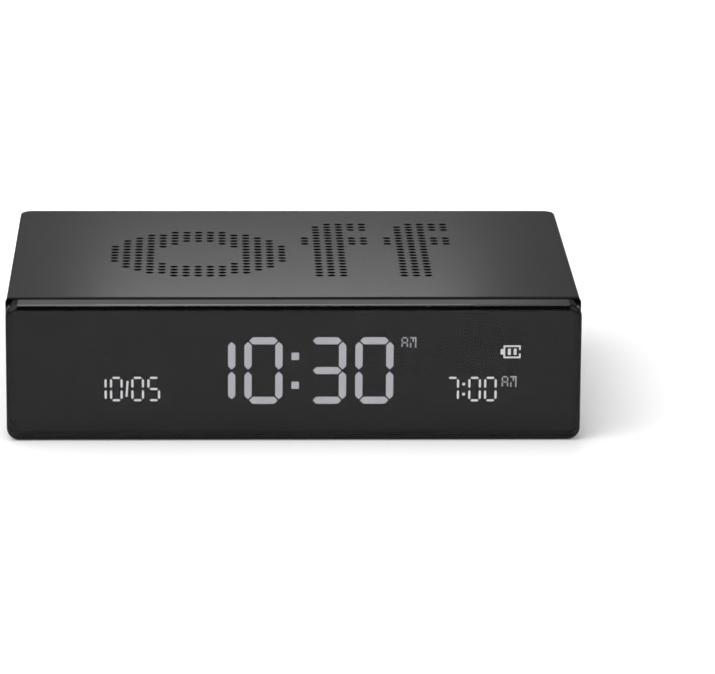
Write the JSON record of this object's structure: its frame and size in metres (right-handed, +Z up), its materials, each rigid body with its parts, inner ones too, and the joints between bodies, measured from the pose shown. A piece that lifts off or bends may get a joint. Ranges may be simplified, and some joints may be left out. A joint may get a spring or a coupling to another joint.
{
  "type": "digital alarm clock",
  "caption": "Low flat bedside alarm clock with a wide lit segment display behind a smoked front lens and perforated faces, turned over to arm it.",
  "frame": {"origin": "centre of the underside, on the surface that the clock lies on", "axes": "+X to the right seen from the display, +Y from the display to the back, +Z up"},
  "size_m": [0.1304, 0.093, 0.0316],
  "materials": {
    "smoked_lens": "polished smoked clear plastic",
    "black_frame": "fine matt",
    "satin_plate": "satin, very fine grain",
    "satin_body": "satin, very fine grain",
    "black_cloth": "open woven",
    "display_glass": "polished",
    "film": "smooth film",
    "white_plastic": "moulded",
    "copper_foil": "bright foil",
    "circuit_board": "solder mask",
    "chip_black": "moulded",
    "bright_steel": "plated",
    "amber_film": "smooth film",
    "key_rubber": "soft matt",
    "foam": "foam",
    "cell_foil": "laminate foil",
    "red_lead": "smooth",
    "black_lead": "smooth",
    "magnet_steel": "plated",
    "cone_paper": "pressed paper"
  },
  "bodies": {
    "case": {"front_lens": "smoked_lens", "display_bezel": "black_frame", "front_polariser": "film", "lcd_front_glass": "display_glass", "lcd_rear_glass": "display_glass", "rear_polariser": "film", "diffuser_sheet": "white_plastic", "light_guide": "white_plastic", "reflector_sheet": "white_plastic", "backlight_board": "white_plastic", "mid_frame": "satin_body", "rear_panel": "satin_body", "top_plate": "satin_plate", "bottom_plate": "satin_plate", "upper_dust_mesh": "black_cloth", "lower_dust_mesh": "black_cloth", "touch_foil": "copper_foil", "main_board": "circuit_board", "clock_chip": "chip_black", "charge_chip": "chip_black", "quartz_crystal": "bright_steel", "lcd_flex": "amber_film", "lcd_connector": "white_plastic", "usb_shell": "bright_steel", "usb_tongue": "chip_black", "time_switch": "bright_steel", "alarm_switch": "bright_steel", "minus_switch": "bright_steel", "plus_switch": "bright_steel", "tilt_cage": "chip_black", "tilt_cap": "chip_black", "battery_tape": "foam", "battery_cell": "cell_foil", "battery_connector": "white_plastic", "battery_lead_red": "red_lead", "battery_lead_black": "black_lead", "speaker_gasket": "foam", "speaker_basket": "bright_steel", "speaker_magnet": "magnet_steel", "speaker_lead_red": "red_lead", "speaker_lead_black": "black_lead", "bezel_screw_left_lower": "bright_steel", "bezel_screw_right_lower": "bright_steel", "bezel_screw_left_upper": "bright_steel", "bezel_screw_right_upper": "bright_steel", "board_screw_left_front": "bright_steel", "board_screw_right_front": "bright_steel", "board_screw_left_rear": "bright_steel", "board_screw_right_rear": "bright_steel"},
    "time_key": {"time_button": "key_rubber", "time_plunger": "black_frame"},
    "alarm_key": {"alarm_button": "key_rubber", "alarm_plunger": "black_frame"},
    "minus_key": {"minus_button": "key_rubber", "minus_plunger": "black_frame"},
    "plus_key": {"plus_button": "key_rubber", "plus_plunger": "black_frame"},
    "cone": {"speaker_cone": "cone_paper"},
    "ball": {"tilt_ball": "bright_steel"}
  },
  "joints": [
    {"name": "time_press", "type": "slide", "parent": "case", "child": "time_key", "axis": [0, -1, 0], "range_m": [0, 0.0004], "stiffness_N_per_m": 2500},
    {"name": "alarm_press", "type": "slide", "parent": "case", "child": "alarm_key", "axis": [0, -1, 0], "range_m": [0, 0.0004], "stiffness_N_per_m": 2500},
    {"name": "minus_press", "type": "slide", "parent": "case", "child": "minus_key", "axis": [0, -1, 0], "range_m": [0, 0.0004], "stiffness_N_per_m": 2500},
    {"name": "plus_press", "type": "slide", "parent": "case", "child": "plus_key", "axis": [0, -1, 0], "range_m": [0, 0.0004], "stiffness_N_per_m": 2500},
    {"name": "cone_stroke", "type": "slide", "parent": "case", "child": "cone", "axis": [0, 0, 1], "range_m": [-0.0003, 0.0003], "stiffness_N_per_m": 1500},
    {"name": "ball_drop", "type": "slide", "parent": "case", "child": "ball", "axis": [0, 0, 1], "range_m": [0, 0.002]}
  ]
}
